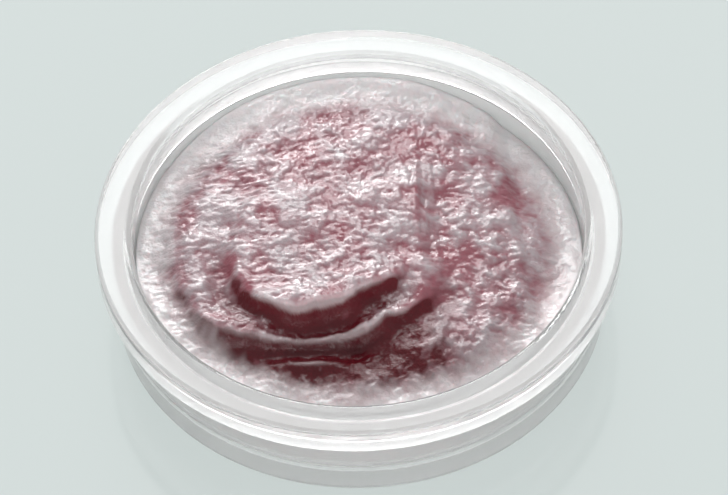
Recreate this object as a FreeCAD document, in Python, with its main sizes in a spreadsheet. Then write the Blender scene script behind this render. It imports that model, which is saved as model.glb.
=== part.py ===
"""Open cosmetic cream jar with a lift-out refill cup.

A clear acrylic jar, a clear refill cup whose wide flat flange is the jar's rim, a soft flat
gasket between the flange and the top of the jar, and the cream that fills the cup.
Millimetres, +Z up, origin at the centre of the face that the jar stands on.
"""
import FreeCAD, Part
import os

import Sketcher

HORIZONTAL_AXIS, VERTICAL_AXIS, ORIGIN = -1, -2, (-1, 1)

DRIVING_SIZES = [
    ("overall_height", 15.0),
    ("mouth_radius", 30.0),         # inside of the refill cup
    # the refill cup and its flange, which is the jar's rim
    ("cup_wall", 1.0),
    ("cup_floor", 0.9),
    ("rim_thickness", 4.0),
    ("rim_overhang", 2.0),          # how far the rim stands out past the jar's wall
    ("mouth_edge_radius", 1.0),
    ("rim_edge_radius", 0.6),
    # the outer jar
    ("bore_clearance", 0.15),       # cup to bore, on the radius
    ("jar_wall", 1.85),
    ("base_thickness", 2.0),        # jar floor, from the foot to the cavity
    ("cup_base_clearance", 0.1),    # cup to jar floor
    ("cavity_corner_radius", 2.4),
    ("base_corner_radius", 1.0),
    ("jar_top_edge_radius", 0.2),
    ("foot_width", 6.0),            # flat ring that the jar stands on
    ("foot_recess", 0.5),           # how far the middle of the base is raised off the table
    # the gasket under the rim
    ("gasket_thickness", 0.3),
    ("gasket_inset", 0.3),          # gasket edges, in from the bore and from the outside wall
    ("gasket_clearance", 0.02),     # gasket to the underside of the rim
    ("vent_width", 1.3),
    ("vent_depth", 0.7),
    ("vent_count", 3),
    ("vent_spacing", 7.8),          # degrees between neighbouring vents
    ("first_vent_angle", -95.0),    # degrees from +X
    # the cream
    ("cream_clearance", 0.15),
    ("cream_edge_drop", 2.8),       # cream at the cup wall, below the rim
    ("cream_crown_rise", 2.2),      # mound in the middle, above the cream's edge
    ("cream_slope_width", 11.0),    # from the cup wall in to the flat top of the mound
]

# Lengths that follow from the driving sizes, written for the expression engine.
CUP_OUTER = "dims.mouth_radius + dims.cup_wall"
BORE_RADIUS = f"{CUP_OUTER} + dims.bore_clearance"
BODY_RADIUS = f"{BORE_RADIUS} + dims.jar_wall"
RIM_RADIUS = f"{BODY_RADIUS} + dims.rim_overhang"
RIM_UNDERSIDE = "dims.overall_height - dims.rim_thickness"
CUP_UNDERSIDE = "dims.base_thickness + dims.cup_base_clearance"
CUP_FLOOR_TOP = f"{CUP_UNDERSIDE} + dims.cup_floor"
CUP_INNER_CORNER = "dims.cavity_corner_radius - dims.cup_wall"
GASKET_TOP = f"{RIM_UNDERSIDE} - dims.gasket_clearance"
JAR_TOP = f"{GASKET_TOP} - dims.gasket_thickness"
GASKET_INNER = f"{BORE_RADIUS} + dims.gasket_inset"
GASKET_OUTER = f"{BODY_RADIUS} - dims.gasket_inset"
FOOT_INNER = f"{BODY_RADIUS} - dims.base_corner_radius - dims.foot_width"
CREAM_RADIUS = "dims.mouth_radius - dims.cream_clearance"
CREAM_UNDERSIDE = f"{CUP_FLOOR_TOP} + dims.cream_clearance"
CREAM_EDGE_LEVEL = "dims.overall_height - dims.cream_edge_drop"
CREAM_CROWN_LEVEL = f"{CREAM_EDGE_LEVEL} + dims.cream_crown_rise"

document = FreeCAD.newDocument("cream_jar")


def make_sheet():
    """Put the driving sizes into a spreadsheet, one aliased cell each."""
    sheet = document.addObject("Spreadsheet::Sheet", "dims")
    for row, (alias, value) in enumerate(DRIVING_SIZES, start=1):
        sheet.set(f"A{row}", alias)
        sheet.set(f"B{row}", str(value))
        sheet.setAlias(f"B{row}", alias)
    document.recompute()
    return sheet


def size(expression):
    """Value of an expression on the sheet, in millimetres or degrees."""
    return float(sheet.evalExpression(expression))


def origin_feature(body, role):
    return next(feature for feature in body.Origin.OriginFeatures if feature.Role == role)


def closed_profile(body, name, plane, corners):
    """Sketch of a closed polygon whose corners are held at expressions on the sheet."""
    sketch = body.newObject("Sketcher::SketchObject", name)
    sketch.AttachmentSupport = [(origin_feature(body, plane), "")]
    sketch.MapMode = "FlatFace"
    places = [FreeCAD.Vector(size(across), size(up), 0) for across, up in corners]
    count = len(places)
    for index in range(count):
        sketch.addGeometry(Part.LineSegment(places[index], places[(index + 1) % count]))
    for index in range(count):
        sketch.addConstraint(Sketcher.Constraint("Coincident", index, 2, (index + 1) % count, 1))
    for index, (across, up) in enumerate(corners):
        hold_corner(sketch, index, "DistanceX", VERTICAL_AXIS, across)
        hold_corner(sketch, index, "DistanceY", HORIZONTAL_AXIS, up)
    return sketch


def hold_corner(sketch, index, direction, zero_axis, expression):
    """Fix one coordinate of a corner: on the axis where it is zero, else at the expression."""
    if expression == "0":
        sketch.addConstraint(Sketcher.Constraint("PointOnObject", index, 1, zero_axis))
        return
    constraint = Sketcher.Constraint(direction, *ORIGIN, index, 1, size(expression))
    number = sketch.addConstraint(constraint)
    sketch.setExpression(f"Constraints[{number}]", expression)


def turned(body, name, corners):
    """Revolve a half section about the jar's axis."""
    sketch = closed_profile(body, f"{name}_section", "XZ_Plane", corners)
    revolution = body.newObject("PartDesign::Revolution", name)
    revolution.Profile = sketch
    revolution.ReferenceAxis = (sketch, ["V_Axis"])
    revolution.Angle = 360.0
    document.recompute()
    return revolution


def rounded(body, name, base, radius, circles):
    """Fillet the circular edges that lie at the given (radius, height) expressions."""
    wanted = [(size(across), size(up)) for across, up in circles]
    edges = [
        f"Edge{number}"
        for number, edge in enumerate(base.Shape.Edges, start=1)
        if isinstance(edge.Curve, Part.Circle)
        and any(
            abs(edge.Curve.Radius - across) < 1e-4 and abs(edge.Curve.Center.z - up) < 1e-4
            for across, up in wanted
        )
    ]
    if len(edges) != len(circles):
        raise RuntimeError(f"{name}: {len(circles)} edges expected, {len(edges)} found")
    fillet = body.newObject("PartDesign::Fillet", name)
    fillet.Base = (base, edges)
    fillet.setExpression("Radius", radius)
    document.recompute()
    return fillet


def make_body(label):
    body = document.addObject("PartDesign::Body", label)
    body.Label = label
    body.Placement = FreeCAD.Placement()
    return body


def make_outer_jar():
    """Clear outer jar: straight bore for the cup, flat top, raised middle of the base."""
    body = make_body("outer_jar")
    shell = turned(body, "jar_shell", [
        (FOOT_INNER, "0"),
        (BODY_RADIUS, "0"),
        (BODY_RADIUS, JAR_TOP),
        (BORE_RADIUS, JAR_TOP),
        (BORE_RADIUS, "dims.base_thickness"),
        ("0", "dims.base_thickness"),
        ("0", "dims.foot_recess"),
        (f"{FOOT_INNER} - dims.foot_recess", "dims.foot_recess"),
    ])
    base_edge = rounded(body, "base_corner", shell, "dims.base_corner_radius",
                        [(BODY_RADIUS, "0")])
    cavity_edge = rounded(body, "cavity_corner", base_edge, "dims.cavity_corner_radius",
                          [(BORE_RADIUS, "dims.base_thickness")])
    rounded(body, "jar_top_edges", cavity_edge, "dims.jar_top_edge_radius",
            [(BODY_RADIUS, JAR_TOP), (BORE_RADIUS, JAR_TOP)])
    return body


def make_inner_cup():
    """Refill cup: thin wall and floor under a thick flat flange that overhangs the jar."""
    body = make_body("inner_cup")
    cup = turned(body, "cup_shell", [
        ("0", CUP_UNDERSIDE),
        (CUP_OUTER, CUP_UNDERSIDE),
        (CUP_OUTER, RIM_UNDERSIDE),
        (RIM_RADIUS, RIM_UNDERSIDE),
        (RIM_RADIUS, "dims.overall_height"),
        ("dims.mouth_radius", "dims.overall_height"),
        ("dims.mouth_radius", CUP_FLOOR_TOP),
        ("0", CUP_FLOOR_TOP),
    ])
    inside = rounded(body, "cup_inner_corner", cup, CUP_INNER_CORNER,
                     [("dims.mouth_radius", CUP_FLOOR_TOP)])
    outside = rounded(body, "cup_corner", inside, "dims.cavity_corner_radius",
                      [(CUP_OUTER, CUP_UNDERSIDE)])
    mouth_edge = rounded(body, "mouth_edge", outside, "dims.mouth_edge_radius",
                         [("dims.mouth_radius", "dims.overall_height")])
    rounded(body, "rim_edges", mouth_edge, "dims.rim_edge_radius",
            [(RIM_RADIUS, "dims.overall_height"), (RIM_RADIUS, RIM_UNDERSIDE)])
    return body


def make_rim_gasket():
    """Flat soft washer on top of the jar, with vents that let air out as the cup goes in."""
    body = make_body("rim_gasket")
    washer = turned(body, "washer", [
        (GASKET_INNER, JAR_TOP),
        (GASKET_OUTER, JAR_TOP),
        (GASKET_OUTER, GASKET_TOP),
        (GASKET_INNER, GASKET_TOP),
    ])
    sketch = closed_profile(body, "vent_outline", "XY_Plane", [
        (f"{GASKET_OUTER} - dims.vent_depth", "-dims.vent_width / 2"),
        (RIM_RADIUS, "-dims.vent_width / 2"),
        (RIM_RADIUS, "dims.vent_width / 2"),
        (f"{GASKET_OUTER} - dims.vent_depth", "dims.vent_width / 2"),
    ])
    sketch.setExpression("AttachmentOffset.Rotation.Angle", "dims.first_vent_angle")
    vent = body.newObject("PartDesign::Pocket", "vent")
    vent.Profile = sketch
    vent.Type = "ThroughAll"
    vent.Midplane = True
    document.recompute()
    if vent.Shape.Volume >= washer.Shape.Volume:
        raise RuntimeError("vent: the pocket cuts nothing")
    vents = body.newObject("PartDesign::PolarPattern", "vents")
    vents.Originals = [vent]
    vents.Axis = (origin_feature(body, "Z_Axis"), [""])
    vents.setExpression("Angle", "dims.vent_spacing * (dims.vent_count - 1)")
    vents.setExpression("Occurrences", "dims.vent_count")
    body.Tip = vents
    document.recompute()
    return body


def make_cream():
    """Fill of the refill cup, a low mound that stays inside the cup wall."""
    body = make_body("cream")
    fill = turned(body, "cream_fill", [
        ("0", CREAM_UNDERSIDE),
        (CREAM_RADIUS, CREAM_UNDERSIDE),
        (CREAM_RADIUS, CREAM_EDGE_LEVEL),
        (f"{CREAM_RADIUS} - dims.cream_slope_width", CREAM_CROWN_LEVEL),
        ("0", CREAM_CROWN_LEVEL),
    ])
    rounded(body, "cream_corner", fill, CUP_INNER_CORNER, [(CREAM_RADIUS, CREAM_UNDERSIDE)])
    return body


def check_document(bodies):
    """Stop before anything is written if an object failed or a shape is unsound."""
    for item in document.Objects:
        if {"Invalid", "Error"} & set(item.State):
            raise RuntimeError(f"{item.Name}: {item.State}")
    for body in bodies:
        if body.Shape.isNull() or not body.Shape.isValid() or not body.Shape.Solids:
            raise RuntimeError(f"{body.Label}: unsound shape")


sheet = make_sheet()
bodies = [make_outer_jar(), make_inner_cup(), make_rim_gasket(), make_cream()]
document.recompute()
check_document(bodies)
os.makedirs("parts", exist_ok=True)
for body in bodies:
    body.Shape.exportStep(os.path.join("parts", f"{body.Label}.step"))
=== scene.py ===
import math

import bpy
import numpy as np
from mathutils import Matrix, Vector


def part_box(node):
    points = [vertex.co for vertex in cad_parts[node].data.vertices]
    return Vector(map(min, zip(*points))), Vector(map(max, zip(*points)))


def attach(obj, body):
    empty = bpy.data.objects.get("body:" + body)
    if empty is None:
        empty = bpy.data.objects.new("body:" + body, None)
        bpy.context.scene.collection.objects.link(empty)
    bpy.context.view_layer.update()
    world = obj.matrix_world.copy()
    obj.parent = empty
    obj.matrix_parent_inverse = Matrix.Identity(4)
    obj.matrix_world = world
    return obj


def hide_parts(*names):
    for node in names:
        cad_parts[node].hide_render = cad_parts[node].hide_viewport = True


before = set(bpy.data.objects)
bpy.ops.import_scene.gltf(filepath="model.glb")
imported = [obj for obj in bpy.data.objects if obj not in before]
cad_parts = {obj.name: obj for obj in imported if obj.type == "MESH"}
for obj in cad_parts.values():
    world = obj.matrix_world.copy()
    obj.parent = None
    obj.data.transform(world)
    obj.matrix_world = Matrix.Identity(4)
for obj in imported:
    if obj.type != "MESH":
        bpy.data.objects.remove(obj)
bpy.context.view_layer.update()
MM = 0.001


# The view: a long lens looking down at the jar from the front, turned a little about its own
# axis, with the jar just above the middle of the picture.
_, rim_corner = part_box("inner_cup")
rim_radius = rim_corner.x
jar_height = rim_corner.z

CAMERA_ELEVATION = math.radians(50.5)
CAMERA_ROLL = math.radians(-2.4)
CAMERA_DISTANCE = 14 * rim_radius
RIM_SHARE_OF_WIDTH = 0.363       # rim radius as a share of the picture's width
SENSOR_WIDTH = 36.0

look = Vector((0, math.cos(CAMERA_ELEVATION), -math.sin(CAMERA_ELEVATION)))
across = Vector((1, 0, 0))
picture_up = across.cross(look)
aim = Vector((0, 0, jar_height)) + across * 0.0185 * rim_radius - picture_up * 0.097 * rim_radius
camera_data = bpy.data.cameras.new("camera")
camera_data.sensor_width = SENSOR_WIDTH
camera_data.lens = RIM_SHARE_OF_WIDTH * CAMERA_DISTANCE / rim_radius * SENSOR_WIDTH
camera_data.clip_start = 0.01
camera = bpy.data.objects.new("camera", camera_data)
bpy.context.scene.collection.objects.link(camera)
camera_turn = look.to_track_quat("-Z", "Y").to_matrix().to_4x4()
camera.matrix_world = (Matrix.Translation(aim - look * CAMERA_DISTANCE) @ camera_turn
                       @ Matrix.Rotation(CAMERA_ROLL, 4, "Z"))
bpy.context.scene.camera = camera


# The table: a pale glossy top that the jar stands on. It gives back a little light of its own,
# as a top lit over its whole width does, and mirrors the soft box.
def new_object(name, points, faces):
    """Object at the origin from points in metres and lists of corner numbers."""
    mesh = bpy.data.meshes.new(name)
    mesh.from_pydata(points, [], faces)
    thing = bpy.data.objects.new(name, mesh)
    bpy.context.scene.collection.objects.link(thing)
    return thing


def principled(name, **settings):
    """Material with the shader's sockets set by name, with _ for each space."""
    material = bpy.data.materials.new(name)
    material.use_nodes = True
    shader = material.node_tree.nodes["Principled BSDF"]
    for socket, value in settings.items():
        shader.inputs[socket.replace("_", " ")].default_value = value
    return material, material.node_tree, shader


TABLE_HALF_WIDTH = 1.5
TABLE_LEVEL = -0.00005          # just under the foot, so that the two faces don't coincide
table = new_object(
    "table_top",
    [(sx * TABLE_HALF_WIDTH, sy * TABLE_HALF_WIDTH, TABLE_LEVEL)
     for sx, sy in ((-1, -1), (1, -1), (1, 1), (-1, 1))],
    [(0, 1, 2, 3)],
)
table_finish, _, _ = principled(
    "table_gloss",
    Base_Color=(0.06, 0.07, 0.07, 1),
    Roughness=0.12,
    Specular_IOR_Level=0.12,
    Emission_Color=(0.545, 0.595, 0.583, 1),
    Emission_Strength=1.0,
)
table.data.materials.append(table_finish)


# The light: a pale room, a soft box above and behind the jar, a low strip behind it, and a wide
# lamp in front that brightens the jar but doesn't show in its gloss.
world = bpy.data.worlds.new("studio")
bpy.context.scene.world = world
world.use_nodes = True
backdrop = world.node_tree.nodes["Background"]
backdrop.inputs["Color"].default_value = (0.90, 0.93, 0.93, 1)
backdrop.inputs["Strength"].default_value = 0.58


def softbox(name, place, width, depth, power):
    """Rectangular lamp at a place in metres, turned to face the jar."""
    light = bpy.data.lights.new(name, "AREA")
    light.shape = "RECTANGLE"
    light.size, light.size_y, light.energy = width, depth, power
    lamp = bpy.data.objects.new(name, light)
    bpy.context.scene.collection.objects.link(lamp)
    lamp.location = place
    lamp.rotation_euler = (-Vector(place)).to_track_quat("-Z", "Y").to_euler()
    return lamp


softbox("back_softbox", (0.0, 0.42, 0.49), 0.36, 0.26, 1.42)
softbox("low_back_strip", (-0.10, 0.62, 0.24), 0.50, 0.14, 2.7)
front_fill = softbox("front_fill", (0.0, -1.00, 0.22), 1.2, 0.3, 7.0)
front_fill.visible_glossy = False
front_fill.visible_camera = False

# light that runs along inside the clear base turns many times before it leaves
BOUNCES_IN_PLASTIC = 24
cycles = bpy.context.scene.cycles
cycles.max_bounces = 32
cycles.glossy_bounces = BOUNCES_IN_PLASTIC
cycles.transmission_bounces = BOUNCES_IN_PLASTIC
bpy.context.scene.view_settings.view_transform = "Standard"


# Outer jar: injection-moulded clear acrylic, polished, with the base raised inside its foot
# ring. It is seen only as bent light: pale where it mirrors the room, pink where the fill shows.
def dress(node, material):
    """Give a carried-over node one material."""
    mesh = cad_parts[node].data
    mesh.materials.clear()
    mesh.materials.append(material)


def surface_bump(tree, shader, height, depth, strength=1.0):
    """Bump of the given depth in metres from a 0 to 1 height output."""
    bump = tree.nodes.new("ShaderNodeBump")
    bump.inputs["Strength"].default_value = strength
    bump.inputs["Distance"].default_value = depth
    tree.links.new(height, bump.inputs["Height"])
    tree.links.new(bump.outputs["Normal"], shader.inputs["Normal"])


def noise_in_place(tree, scale, detail=2.0):
    """Noise on Object coordinates, scale in features per metre; returns its 0 to 1 output."""
    coordinates = tree.nodes.new("ShaderNodeTexCoord")
    noise = tree.nodes.new("ShaderNodeTexNoise")
    noise.inputs["Scale"].default_value = scale
    noise.inputs["Detail"].default_value = detail
    noise.inputs["Roughness"].default_value = 0.5
    tree.links.new(coordinates.outputs["Object"], noise.inputs["Vector"])
    return noise.outputs["Fac"]


def spread(tree, value, low, high, first=0.0, last=1.0):
    """Value mapped so that low gives first and high gives last, held between."""
    node = tree.nodes.new("ShaderNodeMapRange")
    ends = {"From Min": low, "From Max": high, "To Min": first, "To Max": last}
    for socket, number in ends.items():
        node.inputs[socket].default_value = number
    tree.links.new(value, node.inputs["Value"])
    return node.outputs["Result"]


def calculate(tree, operation, first, second):
    """Result of one operation on two values, each an output or a number."""
    node = tree.nodes.new("ShaderNodeMath")
    node.operation = operation
    for socket, value in zip(node.inputs, (first, second)):
        if isinstance(value, (int, float)):
            socket.default_value = value
        else:
            tree.links.new(value, socket)
    return node.outputs["Value"]


def round_place(tree):
    """Distance from the jar's axis and height above the table, in metres."""
    coordinates = tree.nodes.new("ShaderNodeTexCoord")
    parts = tree.nodes.new("ShaderNodeSeparateXYZ")
    tree.links.new(coordinates.outputs["Object"], parts.inputs["Vector"])
    squares = [calculate(tree, "POWER", parts.outputs[axis], 2.0) for axis in "XY"]
    return calculate(tree, "SQRT", calculate(tree, "ADD", *squares), 0.0), parts.outputs["Z"]


acrylic, acrylic_tree, acrylic_shader = principled(
    "clear_acrylic",
    Base_Color=(1.0, 0.985, 0.985, 1),
    IOR=1.49,
    Transmission_Weight=0.84,
)
BORE_RADIUS = 0.03115            # inside of the jar's wall
BORE_BLUR = 0.0004               # half the width over which its matte floor starts
FLOOR_CLEAR, FLOOR_MATTE = 0.0036, 0.0028       # heights at which the matte floor ends and is full
JAR_FLOOR_ROUGHNESS = 0.55
JAR_ROUGHNESS = 0.02
distance, height = round_place(acrylic_tree)
matte_floor = calculate(
    acrylic_tree, "MULTIPLY",
    spread(acrylic_tree, distance, BORE_RADIUS + BORE_BLUR, BORE_RADIUS - BORE_BLUR),
    spread(acrylic_tree, height, FLOOR_CLEAR, FLOOR_MATTE, 0.0, JAR_FLOOR_ROUGHNESS))
acrylic_tree.links.new(
    calculate(acrylic_tree, "ADD", matte_floor, JAR_ROUGHNESS), acrylic_shader.inputs["Roughness"])
surface_bump(acrylic_tree, acrylic_shader, noise_in_place(acrylic_tree, 60), 0.00002)
dress("outer_jar", acrylic)


# Rim gasket: a thin flat washer of translucent pale silicone that lies on the jar's top edge,
# under the cup's flange. Three small vents side by side at the front let air out.
silicone, silicone_tree, silicone_shader = principled(
    "pale_silicone",
    Base_Color=(0.80, 0.77, 0.75, 1),
    Roughness=0.45,
    IOR=1.41,
    Transmission_Weight=0.35,
)
surface_bump(silicone_tree, silicone_shader, noise_in_place(silicone_tree, 2500), 0.00001)
dress("rim_gasket", silicone)


# Inner cup: the clear refill cup, moulded in one piece. Its thick flat flange is the jar's
# visible rim. Its floor and the flange's underside have a matte finish.
styrene, styrene_tree, styrene_shader = principled(
    "clear_styrene",
    Base_Color=(1.0, 0.988, 0.988, 1),
    IOR=1.49,
    Transmission_Weight=0.80,
)
FLANGE_CLEAR, FLANGE_MATTE = 0.0116, 0.0111     # heights at which its matte underside ends and is full
FLANGE_START, FLANGE_FULL = 0.0311, 0.0315      # and the radii over which it starts
CUP_FLOOR_ROUGHNESS = 0.45
CUP_FLANGE_ROUGHNESS = 0.5
CUP_ROUGHNESS = 0.04
distance, height = round_place(styrene_tree)
matte_floor = spread(styrene_tree, height, FLOOR_CLEAR, FLOOR_MATTE, 0.0, CUP_FLOOR_ROUGHNESS)
matte_underside = calculate(
    styrene_tree, "MULTIPLY",
    spread(styrene_tree, height, FLANGE_CLEAR, FLANGE_MATTE, 0.0, CUP_FLANGE_ROUGHNESS),
    spread(styrene_tree, distance, FLANGE_START, FLANGE_FULL))
matte = calculate(styrene_tree, "MAXIMUM", matte_floor, matte_underside)
styrene_tree.links.new(
    calculate(styrene_tree, "ADD", matte, CUP_ROUGHNESS), styrene_shader.inputs["Roughness"])
surface_bump(styrene_tree, styrene_shader, noise_in_place(styrene_tree, 45), 0.00002)
dress("inner_cup", styrene)


# Cream: a wet, translucent pink scrub that fills the cup. A spatula has turned it into a
# swirl, whose lips stand up and curl over hollows, and its grains catch the light. Its colour
# has painted shade in the hollows and on faces that fall to the front, a painted highlight
# along the lip tops and painted sheen on the grain's crests.
cream_low, cream_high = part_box("cream")
CREAM_RADIUS = 0.5 * (cream_high.x - cream_low.x) / MM
GRID = 286                       # cells along each side of the surface's square grid

# The folds of the swirl. Each has the middle line of its lip in millimetres, then the lip's
# rise and the depth of the hollow outside it at each of those points.
OUTER_FOLD = (
    [(-26.0, 9.0), (-25.0, 3.0), (-23.8, -3.0), (-22.2, -9.0), (-19.0, -13.6), (-13.5, -15.6),
     (-7.0, -15.9), (-1.0, -15.0), (4.4, -12.9), (8.4, -9.2), (10.6, -4.4)],
    [0.0, 0.4, 0.6, 0.8, 1.1, 1.2, 1.0, 0.9, 0.8, 0.5, 0.0],
    [0.0, 0.1, 0.3, 0.6, 1.1, 1.6, 2.1, 2.2, 1.6, 0.8, 0.0],
)
INNER_LOBE = (
    [(3.0, 15.6), (-2.0, 15.8), (-8.0, 13.4), (-12.6, 7.6), (-15.4, 0.8), (-15.8, -5.0),
     (-13.8, -10.2), (-8.4, -12.4), (-2.6, -11.0), (2.4, -8.2), (6.6, -4.2)],
    [0.0, 0.2, 0.3, 0.4, 0.6, 1.0, 1.4, 1.6, 1.5, 0.9, 0.0],
    [0.0, 0.0, 0.1, 0.2, 0.3, 0.8, 1.6, 2.2, 2.2, 1.3, 0.0],
)
CREST = (
    [(7.4, -3.0), (7.9, 1.0), (7.7, 5.0), (7.6, 9.0), (7.0, 12.6)],
    [0.0, 0.5, 0.8, 0.6, 0.0],
    [0.0, 0.3, 0.5, 0.3, 0.0],
)


def smooth_track(values, samples_per_span):
    """Catmull-Rom curve: each span is the cubic through its ends whose slopes there are half
    the step between the neighbours on either side."""
    values = np.asarray(values, float)
    padded = np.concatenate([2 * values[:1] - values[1:2], values, 2 * values[-1:] - values[-2:-1]])
    share = np.linspace(0, 1, samples_per_span, endpoint=False)
    share = share.reshape((1, -1) + (1,) * (values.ndim - 1))
    before, start, end, after = (padded[k:len(padded) - 3 + k][:, None] for k in range(4))
    curve = 0.5 * (2 * start + (end - before) * share
                   + (2 * before - 5 * start + 4 * end - after) * share ** 2
                   + (3 * start - before - 3 * end + after) * share ** 3)
    return curve.reshape((-1,) + values.shape[1:])


def value_noise(x, y, cell, seed):
    """Random heights from -1 to 1 on a lattice of the given cell, turned by an angle of its
    own, and blended smoothly between lattice points."""
    chance = np.random.default_rng(seed)
    table = chance.uniform(-1, 1, (128, 128))
    turn = chance.uniform(0.3, 1.2)
    u = (x * math.cos(turn) - y * math.sin(turn)) / cell + 1000.0
    v = (x * math.sin(turn) + y * math.cos(turn)) / cell + 1000.0
    i, j = np.floor(u).astype(int), np.floor(v).astype(int)
    fu, fv = u - i, v - j
    fu, fv = (share ** 3 * (share * (share * 6 - 15) + 10) for share in (fu, fv))
    low = table[i % 128, j % 128] * (1 - fu) + table[(i + 1) % 128, j % 128] * fu
    high = table[i % 128, (j + 1) % 128] * (1 - fu) + table[(i + 1) % 128, (j + 1) % 128] * fu
    return low * (1 - fv) + high * fv


def step_up(value, start, end):
    """0 below start, 1 above end, and a smooth S between."""
    share = np.clip((value - start) / (end - start), 0, 1)
    return share * share * (3 - 2 * share)


def disc_grid(cells):
    """Square grid squeezed onto a disc of radius 1: the greater of a point's two coordinates
    becomes its radius, and their quotient its angle."""
    side = np.linspace(-1, 1, cells + 1)
    a, b = np.meshgrid(side, side, indexing="ij")
    wide = np.abs(a) > np.abs(b)
    radius = np.where(wide, a, b)
    quotient = np.where(wide, b / np.where(a == 0, 1, a), a / np.where(b == 0, 1, b))
    angle = np.where(wide, math.pi / 4 * quotient, math.pi / 2 - math.pi / 4 * quotient)
    return radius * np.cos(angle), radius * np.sin(angle)


def fold_relief(x, y, shape, inner_width, outer_width, hollow_width):
    """Lip and hollow of one fold. The lip is a bell across its line, wide on the inner side
    and narrow on the outer; the hollow is a second bell that starts where the lip has
    fallen. Returns the height and how deep each point lies in the hollow."""
    line, rise, depth = (smooth_track(part, 20) for part in shape)
    heading = np.gradient(line, axis=0)
    heading /= np.linalg.norm(heading, axis=1, keepdims=True)
    height, hollow = np.zeros_like(x), np.zeros_like(x)
    wobble = 0.36 * value_noise(x, y, 3.8, 41) + 0.16 * value_noise(x, y, 1.6, 42)
    varied = 0.9 + 0.22 * value_noise(x, y, 4.2, 43)
    for first in range(0, x.size, 8000):
        part = slice(first, first + 8000)
        dx = x[part, None] - line[None, :, 0]
        dy = y[part, None] - line[None, :, 1]
        apart = np.hypot(dx, dy)
        nearest = np.argmin(apart, axis=1)
        rows = np.arange(len(nearest))
        turn = dx[rows, nearest] * heading[nearest, 1] - dy[rows, nearest] * heading[nearest, 0]
        out = np.sign(turn) * apart[rows, nearest] + wobble[part]
        lip = np.where(out < 0, np.exp(-(out / inner_width) ** 2), np.exp(-(out / outer_width) ** 2))
        past = out - 1.2 * hollow_width
        spread_out = np.where(past < 0, hollow_width, 1.7 * hollow_width)
        deep = depth[nearest] * varied[part] * np.exp(-(past / spread_out) ** 2)
        deep *= step_up(out, -0.2, 1.6)
        height[part] = rise[nearest] * lip - deep
        hollow[part] = deep
    return height, hollow


# Levels and slopes of the cream under its folds, in millimetres.
MIDDLE_LEVEL = 12.3
WALL_DROP = 1.7                  # fall towards the wall, except at the front
FRONT_SLOPE, RIGHT_SLOPE, LEFT_SLOPE = 0.22, 0.15, 0.10
DOME_RISE = 0.9
RIGHT_DROP = 0.7                 # step down to the smooth stretch at the right
DAB_RISE = 1.1
DAB_X, DAB_Y = 6.6, 19.6         # the dab lies this far left and in front of the middle


def cream_form(x, y):
    """Height of the cream in millimetres without its grain, the depth of its hollows, and how
    far each point lies in the smooth low stretch at the right."""
    radius = np.hypot(x, y)
    facing_front = np.clip(-y / np.maximum(radius, 1.0), 0, 1)
    facing_back = np.clip(y / np.maximum(radius, 1.0), 0, 1)
    wander = 1.4 * value_noise(x, y, 7.0, 3)
    shore = 6.0 + 2.5 * facing_back
    shelf = CREAM_RADIUS - 2.4 + 0.5 * wander
    level = MIDDLE_LEVEL - WALL_DROP * (1 - facing_front) * step_up(radius, shelf - shore, shelf)
    level -= FRONT_SLOPE * facing_front * np.clip(np.minimum(-y, 26.5) - 13.5, 0, None)
    level -= RIGHT_SLOPE * np.clip(x - 8.0, 0, 13.0) + LEFT_SLOPE * np.clip(-x - 15.0, 0, 10.0)
    level += DOME_RISE * step_up(-np.hypot(x + 4.5, y - 2.0), -17.0, -4.0)
    right_side = step_up(x + 0.10 * y + 0.6 * value_noise(x, y, 4.0, 5), 20.6, 22.6)
    right_side = right_side * step_up(y, -17.0, -9.0)
    level -= RIGHT_DROP * right_side
    outer, outer_hollow = fold_relief(x, y, OUTER_FOLD, 3.2, 1.5, 2.0)
    lobe, lobe_hollow = fold_relief(x, y, INNER_LOBE, 3.8, 1.7, 1.8)
    crest, crest_hollow = fold_relief(x, y, CREST, 2.4, 1.3, 1.3)
    dab_x, dab_y = x + DAB_X, y + DAB_Y
    dab = np.exp(-(dab_x / 4.6) ** 2 - (np.where(dab_y > 0, dab_y / 2.0, dab_y / 0.9)) ** 2)
    height = level + outer + lobe + crest + DAB_RISE * dab
    return height, outer_hollow + lobe_hollow + 0.4 * crest_hollow, right_side


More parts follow.
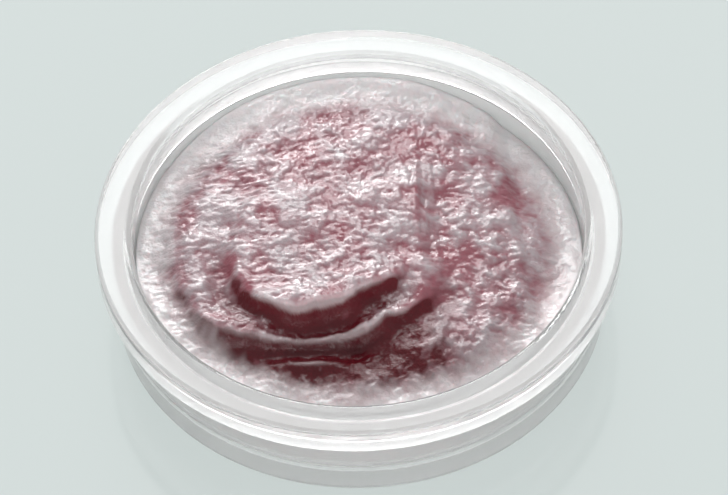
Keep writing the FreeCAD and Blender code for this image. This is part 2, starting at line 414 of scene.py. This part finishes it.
def cream_surface(x, y):
    """Height of the cream in millimetres; how much painted shade each point gets for being turned
    from the light, in a hollow, on a face that falls to the front or in the lee in front of the
    outer fold; its height within the grain; and how far it lies on the crest of a lip."""
    form, hollow, right_side = cream_form(x, y)
    behind = 0.35
    falling = (cream_form(x, y + behind)[0] - form) / behind
    inside = step_up(-np.hypot(x, y), -27.6, -25.6)
    # painted shade over the front stretch in the lee of the outer fold, lifted where a lip stands
    # above its front
    front_lee_shade = np.exp(-((x + 1.0) / 14.0) ** 4 - ((y + 20.0) / 4.6) ** 2)
    to_front, to_back = cream_form(x, y - 1.2)[0], cream_form(x, y + 1.2)[0]
    front_lee_shade *= 1 - 0.9 * step_up(form - to_front, 0.35, 0.8)
    lip_top = step_up(form - 0.5 * (to_front + to_back), 0.30, 0.90) * inside
    # painted shade: hollows, faces that fall to the front and the lee, broken up by noise
    shade = np.clip(0.5 * hollow + 1.2 * step_up(falling, 0.15, 1.0) + front_lee_shade, 0, 1.4) * inside
    shade *= 1 + 0.35 * value_noise(x, y, 1.2, 61) + 0.25 * value_noise(x, y, 0.5, 62)
    calm = (1 - 0.20 * np.clip(shade, 0, 1)) * (1 - 0.55 * right_side)
    calm *= step_up(CREAM_RADIUS - np.hypot(x, y), 0.0, 1.2)
    sag = 0.38 * value_noise(x, y, 4.6, 11) + 0.26 * value_noise(x, y, 2.3, 12)
    scallops = (0.11 * value_noise(x * 0.75, y, 1.0, 21) + 0.10 * value_noise(x * 0.8, y, 0.60, 22)
                + 0.075 * value_noise(x * 0.9, y, 0.38, 23))
    drag = value_noise(x * 2.6, y * 0.30, 1.5, 31) * np.exp(-((x - 9.0) / 2.8) ** 2
                                                            - ((y - 5.0) / 9.5) ** 4)
    height = form + calm * (sag + scallops + 0.20 * drag)
    return height, shade, (scallops + 0.4 * sag) / 0.28, lip_top


grid_x, grid_y = disc_grid(GRID)
count = GRID + 1
x = (grid_x * CREAM_RADIUS).ravel()
y = (grid_y * CREAM_RADIUS).ravel()
z, shade, grain, lip_top = cream_surface(x, y)

numbers = np.arange(count * count).reshape(count, count)
quads = np.stack([numbers[:-1, :-1], numbers[1:, :-1], numbers[1:, 1:], numbers[:-1, 1:]], axis=-1)
quads = quads.reshape(-1, 4)
edge_loop = np.concatenate(
    [numbers[:-1, 0], numbers[-1, :-1], numbers[:0:-1, -1], numbers[0, :0:-1]])

# side and underside: the edge is carried down the wall, round the corner and in to the middle
CORNER = 1.3                     # radius of the fill's lower corner, millimetres
WALL_RINGS = 3                   # rings of points down the wall
UNDERSIDE_RADII = [18.0, 6.0]
floor_level = cream_low.z / MM
corner_turn = np.linspace(0, math.pi / 2, 6)
side_radii = [CREAM_RADIUS] * WALL_RINGS
side_radii += list(CREAM_RADIUS - CORNER + CORNER * np.cos(corner_turn)) + UNDERSIDE_RADII
side_levels = [None] * WALL_RINGS + list(floor_level + CORNER - CORNER * np.sin(corner_turn))
side_levels += [floor_level] * len(UNDERSIDE_RADII)
edge_angle = np.arctan2(y[edge_loop], x[edge_loop])
rings = [edge_loop]
points = [np.stack([x, y, z], axis=1)]
total = count * count
for step, (radius, fixed_level) in enumerate(zip(side_radii, side_levels), start=1):
    if fixed_level is None:
        drop = step / (WALL_RINGS + 1)
        level = z[edge_loop] * (1 - drop) + (floor_level + CORNER) * drop
    else:
        level = np.full(len(edge_loop), fixed_level)
    ring = [radius * np.cos(edge_angle), radius * np.sin(edge_angle), level]
    points.append(np.stack(ring, axis=1))
    rings.append(np.arange(total, total + len(edge_loop)))
    total += len(edge_loop)
points.append(np.array([[0.0, 0.0, floor_level]]))
points = np.concatenate(points) * MM
faces = quads.tolist()
for upper, lower in zip(rings[:-1], rings[1:]):
    following_upper, following_lower = np.roll(upper, -1), np.roll(lower, -1)
    faces += np.stack([upper, lower, following_lower, following_upper], axis=1).tolist()
last = rings[-1]
faces += np.stack([last, np.full(len(last), total), np.roll(last, -1)], axis=1).tolist()
cream = new_object("cream_swirl", points.tolist(), faces)
cream_mesh = cream.data
cream_mesh.polygons.foreach_set("use_smooth", [True] * len(cream_mesh.polygons))

# What the finish reads: painted shade and the grain's height on the surface only, and the reach,
# which is the share of the way to the wall, a little uneven and raised along the tops of the
# lips to paint a highlight there.
below = np.zeros(len(points) - len(x))
FROST_START, FROST_FULL = 0.785, 0.925          # reach at which the cream starts to pale, and is pale
# painted highlight: the lip tops are raised at least this far into the pale fringe colour
LIP_PAINTED_HIGHLIGHT = 0.05
wall_reach_and_lip_highlight = np.hypot(0.965 * points[:, 0], 1.03 * points[:, 1]) / (CREAM_RADIUS * MM)
wall_reach_and_lip_highlight[:len(x)] += 0.02 * value_noise(x, y, 2.0, 51) + 0.012 * value_noise(x, y, 0.8, 52)
wall_reach_and_lip_highlight[:len(x)] = np.maximum(wall_reach_and_lip_highlight[:len(x)], FROST_START + LIP_PAINTED_HIGHLIGHT * lip_top)
for name, values in (("shade", np.concatenate([shade, below])),
                     ("grain", np.concatenate([grain, below])), ("wall_reach_and_lip_highlight", wall_reach_and_lip_highlight)):
    layer = cream_mesh.attributes.new(name, "FLOAT", "POINT")
    layer.data.foreach_set("value", values.astype(np.float32))
cream_mesh.update()

gel, gel_tree, gel_shader = principled(
    "pink_scrub",
    Roughness=0.30,
    IOR=1.5,
    Specular_IOR_Level=0.3,
    Subsurface_Weight=0.30,
    Subsurface_Radius=(1.0, 0.35, 0.40),
    Subsurface_Scale=0.0012,
    Coat_Weight=0.7,
    Coat_Roughness=0.14,
    Coat_IOR=1.6,
)


def mix_colour(tree, amount, first, second):
    """Colour that runs from first to second as amount goes from 0 to 1."""
    mix = tree.nodes.new("ShaderNodeMix")
    mix.data_type = "RGBA"
    for socket, colour in ((mix.inputs[6], first), (mix.inputs[7], second)):
        if isinstance(colour, tuple):
            socket.default_value = colour
        else:
            tree.links.new(colour, socket)
    tree.links.new(amount, mix.inputs[0])
    return mix.outputs[2]


def attribute(tree, name):
    """One of the mesh's own values, by name."""
    node = tree.nodes.new("ShaderNodeAttribute")
    node.attribute_name = name
    return node.outputs["Fac"]


ROSE = (0.29, 0.085, 0.110, 1)
PINK_GREY = (0.43, 0.345, 0.365, 1)
PAINTED_SHADE_BURGUNDY = (0.095, 0.003, 0.008, 1)
FROSTED_AND_LIP_HIGHLIGHT = (0.86, 0.80, 0.81, 1)
cloudy = spread(gel_tree, noise_in_place(gel_tree, 210, 3.0), 0.38, 0.64, -0.35, 0.35)
# painted sheen and shade: the grain's crests are painted greyer and paler and its dips redder, on top
# of a random cloudy tone
painted_grain_sheen = spread(gel_tree, attribute(gel_tree, "grain"), -0.7, 0.7)
colour = mix_colour(gel_tree, calculate(gel_tree, "ADD", painted_grain_sheen, cloudy), ROSE, PINK_GREY)
# painted shade: burgundy painted where the cream is turned from the light
turned_away = attribute(gel_tree, "shade")
colour = mix_colour(gel_tree, spread(gel_tree, turned_away, 0.1, 0.9), colour, PAINTED_SHADE_BURGUNDY)
# the pale fringe by the wall, and the painted highlight along the lip tops
frost_and_lip_highlight = spread(gel_tree, attribute(gel_tree, "wall_reach_and_lip_highlight"), FROST_START, FROST_FULL)
colour = mix_colour(gel_tree, frost_and_lip_highlight, colour, FROSTED_AND_LIP_HIGHLIGHT)
gel_tree.links.new(colour, gel_shader.inputs["Base Color"])
# the coat thins where shade is painted, so those parts stay dark instead of mirroring the pale room
coat_thinned_in_shade = spread(gel_tree, turned_away, 0.1, 0.8, 0.7, 0.1)
gel_tree.links.new(coat_thinned_in_shade, gel_shader.inputs["Coat Weight"])
surface_bump(gel_tree, gel_shader, noise_in_place(gel_tree, 3000, 2.5), 0.00012, 0.9)
cream_mesh.materials.append(gel)

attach(cream, "cup")
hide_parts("cream")
